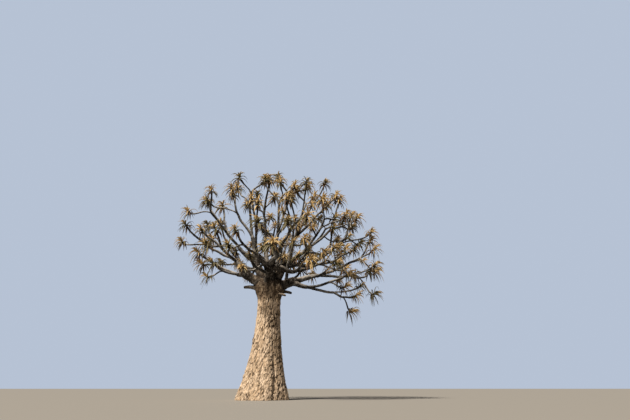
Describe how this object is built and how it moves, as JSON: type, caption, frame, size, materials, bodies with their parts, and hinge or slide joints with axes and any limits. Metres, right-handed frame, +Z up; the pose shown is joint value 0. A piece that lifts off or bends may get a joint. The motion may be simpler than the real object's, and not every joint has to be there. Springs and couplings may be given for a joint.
{
  "type": "kokerboom tree",
  "caption": "Umbrella-crowned succulent tree: a stout trunk with a flared foot, bare boughs that fork again and again, and a rosette of fleshy leaves on every tip.",
  "frame": {"origin": "on the level ground, at the middle of the flat cut under the trunk (mount ground)", "axes": "+Z up the trunk; +X towards the crown's wider side, to the right in the picture; -Y towards the viewer of the picture"},
  "size_m": [4.9271, 4.5495, 5.3109],
  "materials": {
    "bark": "matt, cracked into plates",
    "bough_bark": "matt, smooth",
    "foliage": "satin, waxy"
  },
  "bodies": {
    "root": {"trunk": "bark", "limb_back": "bough_bark", "limb_front": "bough_bark", "limb_left": "bough_bark", "limb_left_high": "bough_bark", "limb_right": "bough_bark", "limb_right_low": "bough_bark", "bough_back_left": "bough_bark", "bough_back_right": "bough_bark", "bough_front": "bough_bark", "bough_front_left": "bough_bark", "bough_front_right": "bough_bark", "bough_left_far": "bough_bark", "bough_left_low": "bough_bark", "bough_left_top": "bough_bark", "bough_left_upper": "bough_bark", "bough_right_arm": "bough_bark", "bough_right_far": "bough_bark", "bough_right_side": "bough_bark", "bough_right_top": "bough_bark", "bough_right_upper": "bough_bark", "bough_top_back": "bough_bark", "bough_top_front": "bough_bark", "rosettes_back_left_1": "foliage", "rosettes_back_left_2": "foliage", "rosettes_back_right_1": "foliage", "rosettes_back_right_2": "foliage", "rosettes_back_right_3": "foliage", "rosettes_front_1": "foliage", "rosettes_front_2": "foliage", "rosettes_front_left_1": "foliage", "rosettes_front_left_2": "foliage", "rosettes_front_right_1": "foliage", "rosettes_front_right_2": "foliage", "rosettes_left_far_1": "foliage", "rosettes_left_far_2": "foliage", "rosettes_left_far_3": "foliage", "rosettes_left_low_1": "foliage", "rosettes_left_low_2": "foliage", "rosettes_left_top_1": "foliage", "rosettes_left_top_2": "foliage", "rosettes_left_upper_1": "foliage", "rosettes_left_upper_2": "foliage", "rosettes_right_arm_1": "foliage", "rosettes_right_arm_2": "foliage", "rosettes_right_far_1": "foliage", "rosettes_right_far_2": "foliage", "rosettes_right_far_3": "foliage", "rosettes_right_side_1": "foliage", "rosettes_right_side_2": "foliage", "rosettes_right_top_1": "foliage", "rosettes_right_top_2": "foliage", "rosettes_right_top_3": "foliage", "rosettes_right_upper_1": "foliage", "rosettes_right_upper_2": "foliage", "rosettes_right_upper_3": "foliage", "rosettes_top_back_1": "foliage", "rosettes_top_back_2": "foliage", "rosettes_top_front_1": "foliage", "rosettes_top_front_2": "foliage"}
  },
  "joints": []
}
